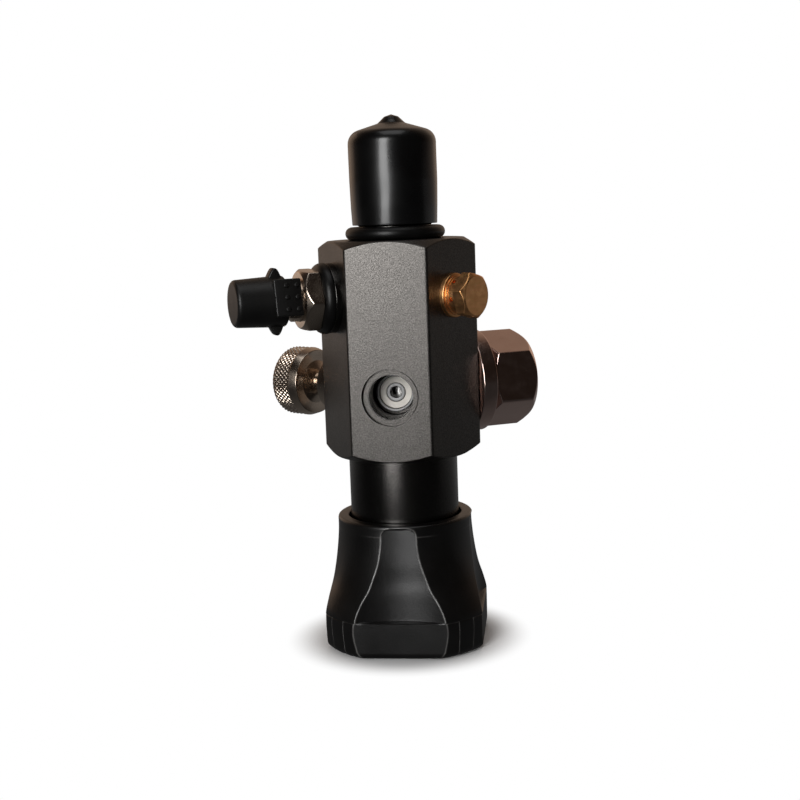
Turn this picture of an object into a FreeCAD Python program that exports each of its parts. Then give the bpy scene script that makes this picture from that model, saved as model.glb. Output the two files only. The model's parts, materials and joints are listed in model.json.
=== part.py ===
"""High-pressure cylinder valve, standing on its handwheel with the tank thread up.

Millimetres and degrees. +Z runs up the valve's axis, and the origin is the centre of the handwheel's
flat end. The front port faces -Y. Each port's own axis is drawn along local Z, outwards, with local Y
up and local Z = 0 on the valve's axis, and is then turned onto its face of the hexagonal body.
"""
import FreeCAD, Part
import math
import os

Vector = FreeCAD.Vector
ORIGIN = Vector(0, 0, 0)
UP = Vector(0, 0, 1)

# Body: hexagonal bar with the tank thread turned on its upper end
BODY_FLATS = 32.0
BODY_BOTTOM = 45.3
BODY_TOP = 94.9
BODY_CORNER_DROP = 1.7
FACE = BODY_FLATS / 2
TANK_THREAD_RADIUS = 8.9
TANK_THREAD_TOP = 116.3
RELIEF_RADIUS = 8.3
TANK_RING_SECTION = 3.0
TANK_RING_RADIUS = 10.0
RELIEF_TOP = BODY_TOP + TANK_RING_SECTION + 0.1
PASSAGE_RADIUS = 2.5
PASSAGE_BOTTOM = 75.1
FILTER_SEAT = 110.1

# Port levels and the face that each port is on, counted from the front face
UPPER_LEVEL = 82.2
LOWER_LEVEL = 60.2
PLUG_LEVEL = 60.6
FRONT = 0
FILL_SIDE = -60
BURST_SIDE = 60
BLEED_SIDE = -120
PLUG_SIDE = 120

# Clearances: between a thread or spigot and its hole, and for a fit that turns or slides
THREAD_GAP = 0.05
RUNNING_GAP = 0.05

# Bonnet and valve mechanism
BONNET_RADIUS = 12.75
BONNET_BOTTOM = 20.6
SPIGOT_RADIUS = 10.0
SPIGOT_TOP = 50.6
SPINDLE_RADIUS = 5.0
SHOULDER = 40.1
THRUST_THICKNESS = 1.0
FLANGE_RADIUS = 7.0
FLANGE_TOP = 43.7
TONGUE_TOP = 48.7
TONGUE_THICKNESS = 2.4
PLUG_THREAD_RADIUS = 6.0
PLUG_BOTTOM = 46.7
PLUG_SHOULDER = 54.4
PLUG_NOSE_TOP = 65.3
INSERT_BOTTOM = 62.9
CHAMBER_RADIUS = 4.2
CHAMBER_TOP = 67.1
SEAT_RING_DROP = 0.55
SEAT_HOLE_RADIUS = 1.5
SPINDLE_RING_HEIGHTS = (27.1, 33.1)
SPINDLE_RING_SECTION = 1.0

# Handwheel
WHEEL_TOP = 30.6
COLLAR_RADIUS = 15.9
COLLAR_EDGE = 15.2
COLLAR_BORE = 13.35
COLLAR_FLOOR = 19.6
LOBE_RADIUS = 21.3
FLUTE_COUNT = 4
FLUTE_TURN = 2.2
HOLLOW_REACH = 45.0
LEDGE = 8.6
FOOT_FLAT = 18.3
RECESS_RADIUS = 8.2
RECESS_DEPTH = 6.0
HUB_FLATS = 15.0
HUB_FLANGE_RADIUS = 11.0
SQUARE = 7.0
STUD_RADIUS = 3.0
STUD_BOTTOM = 1.6
COVER_THICKNESS = 1.2

# Fill nipple and its dust cap, lengths counted from the valve's axis
NIPPLE_RADIUS = 4.0
NIPPLE_FLATS = 13.2
NIPPLE_THREAD_RADIUS = 4.85
NIPPLE_TIP = 37.4
BACKING_THICKNESS = 1.65
BACKING_RADIUS = 7.95
SEAL_THICKNESS = 2.45
SEAL_RADIUS = 8.1
DUST_CAP_RADIUS = 5.3
DUST_CAP_MOUTH_RADIUS = 5.7
DUST_CAP_BORE = 4.65
DUST_CAP_MOUTH = 27.6
DUST_CAP_END = 39.3
EAR_HALF_WIDTH = 1.5
TAB_TURN = 12

# Burst-disc plug, bleed screw and blanking plug
BURST_THREAD_RADIUS = 4.05
BURST_SEAT = 9.0
BURST_FLATS = 9.4
BLEED_THREAD_RADIUS = 2.5
BLEED_HEAD_RADIUS = 8.4
BLEED_HEAD_START = 26.3
BLEED_HEAD_END = 34.2
COLLAR_NUT_RADIUS = 6.5
COLLAR_NUT_THREAD = 4.9
COLLAR_NUT_TOP = 21.4
BLEED_END = 10.0
BLANK_THREAD_RADIUS = 6.5
BLANK_COLLAR_RADIUS = 12.1
BLANK_FLATS = 20.0
BLANK_HEX_START = 20.2
BLANK_END = 31.0

# Outlet port and its nozzle
OUTLET_MOUTH_RADIUS = 6.5
OUTLET_RADIUS = 5.2
OUTLET_FLOOR = 5.9
OUTLET_RELIEF_RADIUS = 5.5
OUTLET_RELIEF_TOP = 7.5
NOZZLE_RADIUS = 4.4
NOZZLE_TIP = 7.3
NOZZLE_SPIGOT = 3.0
FERRULE_RADIUS = 2.2
AIR_HOLE_RADIUS = 1.3

# Vinyl cap over the tank thread
TANK_CAP_RADIUS = 10.1
TANK_CAP_BORE = 9.5
TANK_CAP_BOTTOM = 98.3


def rounded_edges(corners):
    """Edges of a closed outline; a corner is (radius, height) or (radius, height, rounding)."""
    points = [Vector(c[0], 0, c[1]) for c in corners]
    edges = []
    ends = []
    for i, corner in enumerate(corners):
        here = points[i]
        if len(corner) < 3:
            ends.append((here, None, here))
            continue
        back = (points[i - 1] - here).normalize()
        ahead = (points[(i + 1) % len(points)] - here).normalize()
        half = back.getAngle(ahead) / 2
        middle_way = (back + ahead).normalize()
        reach = corner[2] / math.tan(half)
        top_of_arc = here + middle_way * (corner[2] / math.sin(half) - corner[2])
        ends.append((here + back * reach, top_of_arc, here + ahead * reach))
    for i, (start, middle, end) in enumerate(ends):
        if middle is not None:
            edges.append(Part.Arc(start, middle, end).toShape())
        after = ends[(i + 1) % len(ends)][0]
        if end.distanceToPoint(after) > 1e-6:
            edges.append(Part.LineSegment(end, after).toShape())
    return edges


def turned(*corners):
    """Solid of revolution about Z, from the corners of half its section."""
    wire = Part.Wire(Part.__sortEdges__(rounded_edges(corners)))
    return Part.Face(wire).revolve(ORIGIN, UP, 360)


def rod(radius, low, high):
    return Part.makeCylinder(radius, high - low, Vector(0, 0, low))


def ring(outer, inner, low, high):
    return rod(outer, low, high).cut(rod(inner, low - 1, high + 1))


def o_ring(radius, section, height):
    return Part.makeTorus(radius, section / 2, Vector(0, 0, height))


def hexagon(flats, low, high, corner_angle=0.0):
    radius = flats / math.sqrt(3)
    points = []
    for i in range(7):
        angle = math.radians(corner_angle + 60 * i)
        points.append(Vector(radius * math.cos(angle), radius * math.sin(angle), low))
    return Part.Face(Part.makePolygon(points)).extrude(Vector(0, 0, high - low))


def chamfered_hexagon(flats, low, high, drops, corner_angle=0.0):
    """Hexagon whose corners are turned down at each end by the given drops."""
    corner = flats / math.sqrt(3)
    flat = flats / 2 - 0.15
    low_drop, high_drop = drops
    corners = [(0, low)]
    corners += [(flat, low), (corner, low + low_drop)] if low_drop else [(corner, low)]
    corners += [(corner, high - high_drop), (flat, high)] if high_drop else [(corner, high)]
    corners += [(0, high)]
    return hexagon(flats, low, high, corner_angle).common(turned(*corners))


def block(x, y, z):
    """Box from three (low, high) pairs."""
    size = [pair[1] - pair[0] for pair in (x, y, z)]
    return Part.makeBox(*size, Vector(x[0], y[0], z[0]))


def coil(radius, wire, low, high, turns):
    """Spring wire wound about Z, standing between two heights."""
    points_per_turn = 16
    steps = points_per_turn * turns
    rise = (high - low - wire) / steps
    points = []
    for i in range(steps + 1):
        angle = 2 * math.pi * i / points_per_turn
        height = low + wire / 2 + rise * i
        points.append(Vector(radius * math.cos(angle), radius * math.sin(angle), height))
    path = Part.BSplineCurve()
    path.interpolate(points)
    section = Part.Wire(Part.Circle(points[0], Vector(0, 1, 0), wire / 2).toShape())
    return Part.Wire(path.toShape()).makePipeShell([section], True, True)


def on_port(shape, side, level):
    """Turn a shape drawn along local Z onto the port at this side and level."""
    moved = shape.copy()
    moved.rotate(ORIGIN, Vector(1, 0, 0), 90)
    moved.rotate(ORIGIN, UP, side)
    moved.translate(Vector(0, 0, level))
    return moved


def joined(shapes):
    whole = shapes[0]
    for shape in shapes[1:]:
        whole = whole.fuse(shape)
    return whole.removeSplitter()


# ---- body -------------------------------------------------------------------

def body_bores():
    """Everything bored out along the valve's own axis."""
    seat_height = CHAMBER_TOP - SEAT_RING_DROP
    bores = [
        rod(SPIGOT_RADIUS + THREAD_GAP, BODY_BOTTOM - 1, SPIGOT_TOP),
        rod(11.6, BODY_BOTTOM - 1, BODY_BOTTOM + 1.6),
        rod(PLUG_THREAD_RADIUS + THREAD_GAP, SPIGOT_TOP - 1, PLUG_SHOULDER + 0.2),
        rod(CHAMBER_RADIUS, PLUG_SHOULDER - 1, seat_height),
        ring(CHAMBER_RADIUS, SEAT_HOLE_RADIUS + 0.8, seat_height - 0.5, CHAMBER_TOP),
        rod(SEAT_HOLE_RADIUS, seat_height - 1, PASSAGE_BOTTOM),
        rod(PASSAGE_RADIUS, PASSAGE_BOTTOM, TANK_THREAD_TOP + 1),
        rod(4.0, FILTER_SEAT, TANK_THREAD_TOP + 1),
    ]
    return joined(bores)


def body_ports():
    """The five ports, each on its own face."""
    fill = [
        rod(NIPPLE_THREAD_RADIUS + THREAD_GAP, 8.2, FACE + 1),
        rod(SEAT_HOLE_RADIUS, 0, 9.0),
    ]
    burst = [
        rod(BURST_THREAD_RADIUS + THREAD_GAP, BURST_SEAT, FACE + 1),
        rod(SEAT_HOLE_RADIUS, 0, BURST_SEAT + 1),
    ]
    bleed = [
        rod(COLLAR_NUT_THREAD + THREAD_GAP, BLEED_END, FACE + 1),
        rod(BLEED_THREAD_RADIUS + RUNNING_GAP, 8.0, BLEED_END + 1),
        rod(0.8, 0, 8.5),
    ]
    blank = [
        rod(BLANK_THREAD_RADIUS + THREAD_GAP, 8.2, FACE + 1),
        rod(2.0, 0, 9.0),
    ]
    outlet = [
        rod(OUTLET_MOUTH_RADIUS, FACE - 1.0, FACE + 1),
        rod(OUTLET_RADIUS, OUTLET_FLOOR, FACE + 1),
        rod(OUTLET_RELIEF_RADIUS, OUTLET_FLOOR, OUTLET_RELIEF_TOP),
        rod(NOZZLE_SPIGOT + THREAD_GAP, 0, OUTLET_FLOOR + 1),
    ]
    groups = [
        (fill, FILL_SIDE, UPPER_LEVEL),
        (burst, BURST_SIDE, UPPER_LEVEL),
        (bleed, BLEED_SIDE, LOWER_LEVEL),
        (blank, PLUG_SIDE, PLUG_LEVEL),
        (outlet, FRONT, LOWER_LEVEL),
    ]
    return [on_port(joined(tools), side, level) for tools, side, level in groups]


def valve_body():
    drops = (BODY_CORNER_DROP, BODY_CORNER_DROP)
    bar = chamfered_hexagon(BODY_FLATS, BODY_BOTTOM, BODY_TOP, drops)
    stub = turned(
        (0, BODY_TOP - 1), (RELIEF_RADIUS, BODY_TOP - 1), (RELIEF_RADIUS, RELIEF_TOP),
        (TANK_THREAD_RADIUS, RELIEF_TOP + 0.5), (TANK_THREAD_RADIUS, TANK_THREAD_TOP - 1),
        (TANK_THREAD_RADIUS - 1, TANK_THREAD_TOP), (0, TANK_THREAD_TOP),
    )
    body = joined([bar, stub]).cut(body_bores())
    for port in body_ports():
        body = body.cut(port)
    return body


def tank_cap():
    """Dipped cap: straight sides, a low domed top and the drip left at its middle."""
    shoulder = TANK_CAP_BOTTOM + 20.7
    outside = turned(
        (0, TANK_CAP_BOTTOM), (9.75, TANK_CAP_BOTTOM, 0.15), (9.95, TANK_CAP_BOTTOM + 4),
        (TANK_CAP_RADIUS, TANK_CAP_BOTTOM + 10), (TANK_CAP_RADIUS, shoulder, 3.2),
        (3.2, shoulder + 2.1, 1.2), (1.6, shoulder + 3.6, 0.8), (0, shoulder + 4.1),
    )
    hollow = turned(
        (0, TANK_CAP_BOTTOM - 1), (TANK_CAP_BORE, TANK_CAP_BOTTOM - 1),
        (TANK_CAP_BORE, shoulder - 1.2, 1.8), (0, shoulder + 0.2),
    )
    return outside.cut(hollow)


# ---- bonnet and mechanism ---------------------------------------------------

def bonnet():
    outside = turned(
        (0, BONNET_BOTTOM), (BONNET_RADIUS, BONNET_BOTTOM, 0.6), (BONNET_RADIUS, BODY_BOTTOM, 0.4),
        (SPIGOT_RADIUS, BODY_BOTTOM), (SPIGOT_RADIUS, SPIGOT_TOP, 0.4), (0, SPIGOT_TOP),
    )
    gland = rod(SPINDLE_RADIUS + RUNNING_GAP, BONNET_BOTTOM - 1, SHOULDER + 1)
    chamber = rod(FLANGE_RADIUS + 0.3, SHOULDER, SPIGOT_TOP + 1)
    return outside.cut(gland).cut(chamber)


def spindle():
    flange_bottom = SHOULDER + THRUST_THICKNESS + 0.05
    shaft_bottom = 16.4
    body = turned(
        (0, shaft_bottom), (SPINDLE_RADIUS, shaft_bottom), (SPINDLE_RADIUS, flange_bottom),
        (FLANGE_RADIUS, flange_bottom), (FLANGE_RADIUS, FLANGE_TOP, 0.3), (0, FLANGE_TOP),
    )
    for height in SPINDLE_RING_HEIGHTS:
        half = SPINDLE_RING_SECTION / 2 + 0.15
        depth = SPINDLE_RADIUS - SPINDLE_RING_SECTION - 0.1
        body = body.cut(ring(SPINDLE_RADIUS + 1, depth, height - half, height + half))
    half_square = SQUARE / 2
    across = (-half_square, half_square)
    square = block(across, across, (6.4, shaft_bottom))
    square = square.common(rod(SPINDLE_RADIUS - 0.2, 6.4, shaft_bottom))
    stud = turned(
        (0, STUD_BOTTOM), (STUD_RADIUS, STUD_BOTTOM, 0.4), (STUD_RADIUS, 6.4), (0, 6.4),
    )
    tongue_side = (-TONGUE_THICKNESS / 2, TONGUE_THICKNESS / 2)
    tongue = block((-4.4, 4.4), tongue_side, (FLANGE_TOP, TONGUE_TOP))
    return joined([body, square, stud, tongue])


def spindle_o_rings():
    middle = SPINDLE_RADIUS - 0.05 - SPINDLE_RING_SECTION / 2
    rings = [o_ring(middle, SPINDLE_RING_SECTION, height) for height in SPINDLE_RING_HEIGHTS]
    return Part.makeCompound(rings)


def seat_plug():
    """Threaded plug with a slot for the spindle's tongue and a nose that holds the insert."""
    body = turned(
        (0, PLUG_BOTTOM), (PLUG_THREAD_RADIUS, PLUG_BOTTOM, 0.4), (PLUG_THREAD_RADIUS, PLUG_SHOULDER),
        (3.2, PLUG_SHOULDER), (3.2, PLUG_NOSE_TOP, 0.3), (0, PLUG_NOSE_TOP),
    )
    slot_half = TONGUE_THICKNESS / 2 + 0.1
    slot = block((-7, 7), (-slot_half, slot_half), (PLUG_BOTTOM - 1, PLUG_BOTTOM + 5))
    return body.cut(slot).cut(rod(2.55, INSERT_BOTTOM, CHAMBER_TOP))


def seat_insert():
    return rod(2.5, INSERT_BOTTOM, CHAMBER_TOP - SEAT_RING_DROP - 0.05)


# ---- handwheel --------------------------------------------------------------

def curve(points):
    spline = Part.BSplineCurve()
    spline.interpolate([Vector(p[0], 0, p[1]) for p in points])
    return spline.toShape()


def lobe_solid():
    """The grip without its flutes: a collar that flares to the lobes."""
    flare = [
        (COLLAR_RADIUS, 29.9), (16.2, 24.6), (17.1, 19.8), (18.3, 15.9), (19.9, 12.4),
        (21.1, 9.0), (LOBE_RADIUS, 6.8),
    ]
    foot = (LOBE_RADIUS - 0.5, 2.0)
    toe = (LOBE_RADIUS - 2.4, 0)
    lip = Vector(COLLAR_EDGE, 0, WHEEL_TOP)
    edges = [
        Part.LineSegment(Vector(0, 0, 0), Vector(toe[0], 0, 0)).toShape(),
        Part.Arc(
            Vector(toe[0], 0, toe[1]), Vector(toe[0] + 1.35, 0, 0.55), Vector(foot[0], 0, foot[1])
        ).toShape(),
        Part.LineSegment(Vector(foot[0], 0, foot[1]), Vector(flare[-1][0], 0, flare[-1][1])).toShape(),
        curve(flare),
        Part.Arc(Vector(COLLAR_RADIUS, 0, 29.9), Vector(15.7, 0, 30.4), lip).toShape(),
        Part.LineSegment(lip, Vector(0, 0, WHEEL_TOP)).toShape(),
        Part.LineSegment(Vector(0, 0, WHEEL_TOP), ORIGIN).toShape(),
    ]
    wire = Part.Wire(Part.__sortEdges__(edges))
    return Part.Face(wire).revolve(ORIGIN, UP, 360)


def flute_cutter():
    """What is cut away for the front flute: a hollow down to a ledge, and a flat below it.

    The hollow is turned about an axis that stands HOLLOW_REACH in front of the valve's.
    """
    depths = [
        (29.88, 29.3), (29.66, 25.3), (29.40, 21.4), (29.21, 17.9), (28.94, 14.9), (28.77, 11.7),
        (28.60, LEDGE),
    ]
    corners = [depths[-1], (0, LEDGE), (0, 29.8), (29.05, 29.8), depths[0]]
    edges = [curve(depths)]
    for start, end in zip(corners, corners[1:]):
        edges.append(Part.LineSegment(Vector(start[0], 0, start[1]), Vector(end[0], 0, end[1])).toShape())
    hollow = Part.Face(Part.Wire(Part.__sortEdges__(edges))).revolve(ORIGIN, UP, 360)
    hollow.translate(Vector(HOLLOW_REACH, 0, 0))
    half_width = 25.0
    outline = [(FOOT_FLAT, LEDGE), (FOOT_FLAT, 1.5), (17.9, 0.6), (16.6, -0.3), (30, -0.3), (30, LEDGE)]
    points = [Vector(x, -half_width, z) for x, z in outline]
    flat = Part.Face(Part.makePolygon(points + points[:1])).extrude(Vector(0, 2 * half_width, 0))
    cutter = joined([hollow, flat])
    cutter.rotate(ORIGIN, UP, -90)
    return cutter


def handwheel():
    grip = lobe_solid()
    for i in range(FLUTE_COUNT):
        cutter = flute_cutter()
        cutter.rotate(ORIGIN, UP, FLUTE_TURN + 360 / FLUTE_COUNT * i)
        grip = grip.cut(cutter)
    grip = grip.cut(rod(COLLAR_BORE, COLLAR_FLOOR, WHEEL_TOP + 1))
    grip = grip.cut(rod(HUB_FLANGE_RADIUS + 0.05, COLLAR_FLOOR - 1.6, COLLAR_FLOOR + 1))
    grip = grip.cut(hexagon(HUB_FLATS + 0.1, RECESS_DEPTH - 1, COLLAR_FLOOR))
    return grip.cut(rod(RECESS_RADIUS, -1, RECESS_DEPTH))


def handwheel_hub():
    """Metal insert with a square hole, held in the grip by its hexagon and flange."""
    shaft_step = 16.3
    flange_bottom = COLLAR_FLOOR - 1.55
    core = hexagon(HUB_FLATS, RECESS_DEPTH + 0.05, flange_bottom)
    flange = rod(HUB_FLANGE_RADIUS, flange_bottom, COLLAR_FLOOR - 0.1)
    half_hole = SQUARE / 2 + 0.05
    hole = block((-half_hole, half_hole), (-half_hole, half_hole), (0, shaft_step))
    return joined([core, flange]).cut(hole).cut(rod(SPINDLE_RADIUS + 0.1, shaft_step, WHEEL_TOP))


def handwheel_washer():
    return ring(6.5, STUD_RADIUS + 0.15, 5.05, RECESS_DEPTH)


def handwheel_nut():
    return chamfered_hexagon(10.0, 2.0, 5.0, (0.5, 0), 15).cut(rod(STUD_RADIUS + 0.02, 0, 6))


def handwheel_cover():
    """Disc pressed into the recess, flush with the flat end."""
    return rod(RECESS_RADIUS - 0.05, 0, COVER_THICKNESS)


# ---- fill nipple ------------------------------------------------------------

def fill_nipple():
    hex_start = FACE + BACKING_THICKNESS + SEAL_THICKNESS
    hex_end = 24.0
    stem = turned(
        (0, 8.6), (NIPPLE_THREAD_RADIUS, 8.6, 0.5), (NIPPLE_THREAD_RADIUS, hex_end), (4.8, hex_end),
        (4.8, 26.0, 0.3), (NIPPLE_RADIUS, 26.7), (NIPPLE_RADIUS, 29.2), (3.3, 29.5), (3.3, 31.0),
        (NIPPLE_RADIUS, 31.3), (NIPPLE_RADIUS, NIPPLE_TIP - 0.8), (3.3, NIPPLE_TIP), (0, NIPPLE_TIP),
    )
    hexagonal = chamfered_hexagon(NIPPLE_FLATS, hex_start, hex_end, (0.3, 1.4), -4.2)
    bore = turned(
        (0, 8), (2.6, 8), (2.6, 16.0), (SEAT_HOLE_RADIUS, 16.0), (SEAT_HOLE_RADIUS, NIPPLE_TIP - 2),
        (2.0, NIPPLE_TIP - 1.5), (2.0, NIPPLE_TIP + 1), (0, NIPPLE_TIP + 1),
    )
    return joined([stem, hexagonal]).cut(bore)


def fill_backing_ring():
    top = FACE + BACKING_THICKNESS
    return turned(
        (NIPPLE_THREAD_RADIUS + 0.1, FACE), (BACKING_RADIUS, FACE), (BACKING_RADIUS, top, 0.2),
        (NIPPLE_THREAD_RADIUS + 0.1, top),
    )


def fill_seal_ring():
    low = FACE + BACKING_THICKNESS
    high = low + SEAL_THICKNESS
    return turned(
        (NIPPLE_THREAD_RADIUS + 0.1, low), (SEAL_RADIUS, low, 0.3), (SEAL_RADIUS, high, 1.9),
        (NIPPLE_THREAD_RADIUS + 0.1, high),
    )


def fill_poppet():
    """Check-valve poppet with a guide stem inside its spring."""
    return turned((0, 10.9), (1.2, 10.9), (1.2, 13.2), (2.3, 13.2), (2.3, 15.2), (0, 15.2))


def fill_poppet_seal():
    return turned((0, 15.2), (2.2, 15.2), (2.2, 15.95, 0.3), (0, 15.95))


def fill_spring():
    return coil(1.9, 0.4, 10.45, 13.15, 3)


def fill_retainer():
    return ring(2.58, 1.3, 8.9, 10.4)


def dust_cap():
    """Rubber cap with an ear above and below, and a flat tab with six pips towards the front."""
    shell = turned(
        (0, DUST_CAP_MOUTH), (DUST_CAP_MOUTH_RADIUS, DUST_CAP_MOUTH, 0.3), (DUST_CAP_MOUTH_RADIUS, 31.0),
        (DUST_CAP_RADIUS, DUST_CAP_END, 0.8), (0, DUST_CAP_END),
    )
    ear_outline = [(27.8, 4.9), (28.8, 7.0), (29.2, 7.5), (29.9, 7.5), (30.4, 7.0), (31.5, 4.9)]
    ears = []
    for way in (1, -1):
        points = [Vector(-EAR_HALF_WIDTH, way * y, z) for z, y in ear_outline + ear_outline[:1]]
        ears.append(Part.Face(Part.makePolygon(points)).extrude(Vector(2 * EAR_HALF_WIDTH, 0, 0)))
    tab = block((4.85, 5.75), (-4.2, 4.2), (24.7, 31.0))
    corner_edges = [e for e in tab.Edges if abs(e.BoundBox.XLength - 0.9) < 0.01 and e.BoundBox.ZMax < 25]
    tab = tab.makeFillet(0.8, corner_edges)
    pips = []
    for z in (25.8, 28.2):
        for y in (-2.7, 0, 2.7):
            pips.append(Part.makeCone(0.6, 0.35, 0.35, Vector(5.7, y, z), Vector(1, 0, 0)))
    grip = joined([tab] + pips)
    grip.rotate(ORIGIN, UP, TAB_TURN)
    hollow = turned(
        (0, DUST_CAP_MOUTH - 3), (DUST_CAP_BORE, DUST_CAP_MOUTH - 3), (DUST_CAP_BORE, 38.2, 0.8), (0, 38.2),
    )
    return joined([shell] + ears + [grip]).cut(hollow)


# ---- burst disc -------------------------------------------------------------

def burst_plug():
    """Hex plug; the released air leaves through three holes drilled across its neck."""
    hex_start = 19.7
    plug = turned(
        (0, 9.7), (BURST_THREAD_RADIUS, 9.7, 0.3), (BURST_THREAD_RADIUS, FACE), (5.0, FACE),
        (5.0, 17.0, 0.3), (4.5, 17.1), (4.5, 17.5, 0.1), (4.2, 17.6), (4.2, hex_start), (0, hex_start),
    )
    head = chamfered_hexagon(BURST_FLATS, hex_start, 22.6, (0, 0.9), 45.5)
    plug = joined([plug, head]).cut(rod(2.0, 9, 20.5))
    for i in range(3):
        hole = Part.makeCylinder(0.5, 12, Vector(-6, 0, 18.4), Vector(1, 0, 0))
        hole.rotate(ORIGIN, UP, 9.5 + 60 * i)
        plug = plug.cut(hole)
    return plug


def burst_disc():
    return rod(3.95, BURST_SEAT, BURST_SEAT + 0.2)


def burst_washer():
    return ring(3.95, 2.1, BURST_SEAT + 0.2, 9.7)


# ---- bleed screw ------------------------------------------------------------

def bleed_collar():
    collar = turned(
        (0, BLEED_END + 0.6), (COLLAR_NUT_THREAD, BLEED_END + 0.6, 0.4), (COLLAR_NUT_THREAD, FACE + 0.8),
        (6.05, FACE + 0.8), (6.05, FACE), (COLLAR_NUT_RADIUS, FACE), (COLLAR_NUT_RADIUS, 20.6),
        (5.7, COLLAR_NUT_TOP), (0, COLLAR_NUT_TOP),
    )
    return collar.cut(rod(BLEED_THREAD_RADIUS + RUNNING_GAP, 0, COLLAR_NUT_TOP + 1))


def bleed_collar_seal():
    return ring(6.0, COLLAR_NUT_THREAD + 0.1, FACE, FACE + 0.75)


def bleed_screw():
    """Thumb screw; the face of its head towards the body is turned with two shallow steps."""
    start = BLEED_HEAD_START
    screw = turned(
        (0, BLEED_END), (BLEED_THREAD_RADIUS, BLEED_END, 0.3), (BLEED_THREAD_RADIUS, start - 1.2),
        (3.4, start - 1.0), (3.9, start), (7.8, start, 0.2), (BLEED_HEAD_RADIUS, start + 2.0, 0.3),
        (BLEED_HEAD_RADIUS, BLEED_HEAD_END, 1.2), (0, BLEED_HEAD_END),
    )
    groove = ring(BLEED_THREAD_RADIUS + 1, 1.75, 12.4, 13.5)
    return screw.cut(groove).cut(rod(1.5, BLEED_END - 1, 11.5))


def bleed_o_ring():
    return o_ring(2.12, 0.7, 12.95)


def bleed_tip():
    return turned((0, 7.75), (0.4, 7.75), (1.45, 8.9), (1.45, 11.45), (0, 11.45))


# ---- blanking plug and outlet -----------------------------------------------

def port_plug():
    plug = turned(
        (0, 8.6), (BLANK_THREAD_RADIUS, 8.6, 0.5), (BLANK_THREAD_RADIUS, FACE + 1.2), (9.0, FACE + 1.2),
        (9.0, FACE + 0.05), (BLANK_COLLAR_RADIUS, FACE + 0.05, 0.3), (BLANK_COLLAR_RADIUS, 19.5, 0.3),
        (10.6, BLANK_HEX_START), (0, BLANK_HEX_START),
    )
    head = chamfered_hexagon(BLANK_FLATS, BLANK_HEX_START, BLANK_END, (1.2, 1.7), 22.9)
    dimple = turned((0, BLANK_END - 1.2), (5.5, BLANK_END - 0.6), (6.1, BLANK_END + 1), (0, BLANK_END + 1))
    return joined([plug, head]).cut(dimple)


def port_plug_o_ring():
    return o_ring(7.9, 1.1, FACE + 0.6)


def outlet_nozzle():
    nozzle = turned(
        (0, 4.6), (NOZZLE_SPIGOT, 4.6), (NOZZLE_SPIGOT, OUTLET_FLOOR), (NOZZLE_RADIUS, OUTLET_FLOOR),
        (NOZZLE_RADIUS, NOZZLE_TIP, 0.3), (0, NOZZLE_TIP),
    )
    pocket = rod(3.6, NOZZLE_TIP - 0.95, NOZZLE_TIP + 1)
    return nozzle.cut(pocket).cut(rod(FERRULE_RADIUS + 0.05, 0, NOZZLE_TIP + 1))


def outlet_face_seal():
    return turned(
        (FERRULE_RADIUS + 0.05, NOZZLE_TIP - 0.95), (3.55, NOZZLE_TIP - 0.95),
        (3.55, NOZZLE_TIP - 0.05, 0.15), (FERRULE_RADIUS + 0.05, NOZZLE_TIP - 0.05),
    )


def outlet_ferrule():
    return turned(
        (AIR_HOLE_RADIUS, 4.7), (FERRULE_RADIUS, 4.7), (FERRULE_RADIUS, NOZZLE_TIP + 0.05, 0.25),
        (AIR_HOLE_RADIUS, NOZZLE_TIP + 0.05, 0.15),
    )


AXIAL_PARTS = {
    "valve_body": valve_body,
    "tank_cap": tank_cap,
    "bonnet": bonnet,
    "spindle": spindle,
    "spindle_o_rings": spindle_o_rings,
    "seat_plug": seat_plug,
    "seat_insert": seat_insert,
    "handwheel": handwheel,
    "handwheel_hub": handwheel_hub,
    "handwheel_washer": handwheel_washer,
    "handwheel_nut": handwheel_nut,
    "handwheel_cover": handwheel_cover,
}

PORT_PARTS = {
    "fill_nipple": (fill_nipple, FILL_SIDE, UPPER_LEVEL),
    "fill_backing_ring": (fill_backing_ring, FILL_SIDE, UPPER_LEVEL),
    "fill_seal_ring": (fill_seal_ring, FILL_SIDE, UPPER_LEVEL),
    "fill_poppet": (fill_poppet, FILL_SIDE, UPPER_LEVEL),
    "fill_poppet_seal": (fill_poppet_seal, FILL_SIDE, UPPER_LEVEL),
    "fill_spring": (fill_spring, FILL_SIDE, UPPER_LEVEL),
    "fill_retainer": (fill_retainer, FILL_SIDE, UPPER_LEVEL),
    "dust_cap": (dust_cap, FILL_SIDE, UPPER_LEVEL),
    "burst_plug": (burst_plug, BURST_SIDE, UPPER_LEVEL),
    "burst_disc": (burst_disc, BURST_SIDE, UPPER_LEVEL),
    "burst_washer": (burst_washer, BURST_SIDE, UPPER_LEVEL),
    "bleed_collar": (bleed_collar, BLEED_SIDE, LOWER_LEVEL),
    "bleed_collar_seal": (bleed_collar_seal, BLEED_SIDE, LOWER_LEVEL),
    "bleed_screw": (bleed_screw, BLEED_SIDE, LOWER_LEVEL),
    "bleed_o_ring": (bleed_o_ring, BLEED_SIDE, LOWER_LEVEL),
    "bleed_tip": (bleed_tip, BLEED_SIDE, LOWER_LEVEL),
    "port_plug": (port_plug, PLUG_SIDE, PLUG_LEVEL),
    "port_plug_o_ring": (port_plug_o_ring, PLUG_SIDE, PLUG_LEVEL),
    "outlet_nozzle": (outlet_nozzle, FRONT, LOWER_LEVEL),
    "outlet_face_seal": (outlet_face_seal, FRONT, LOWER_LEVEL),
    "outlet_ferrule": (outlet_ferrule, FRONT, LOWER_LEVEL),
}


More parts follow.
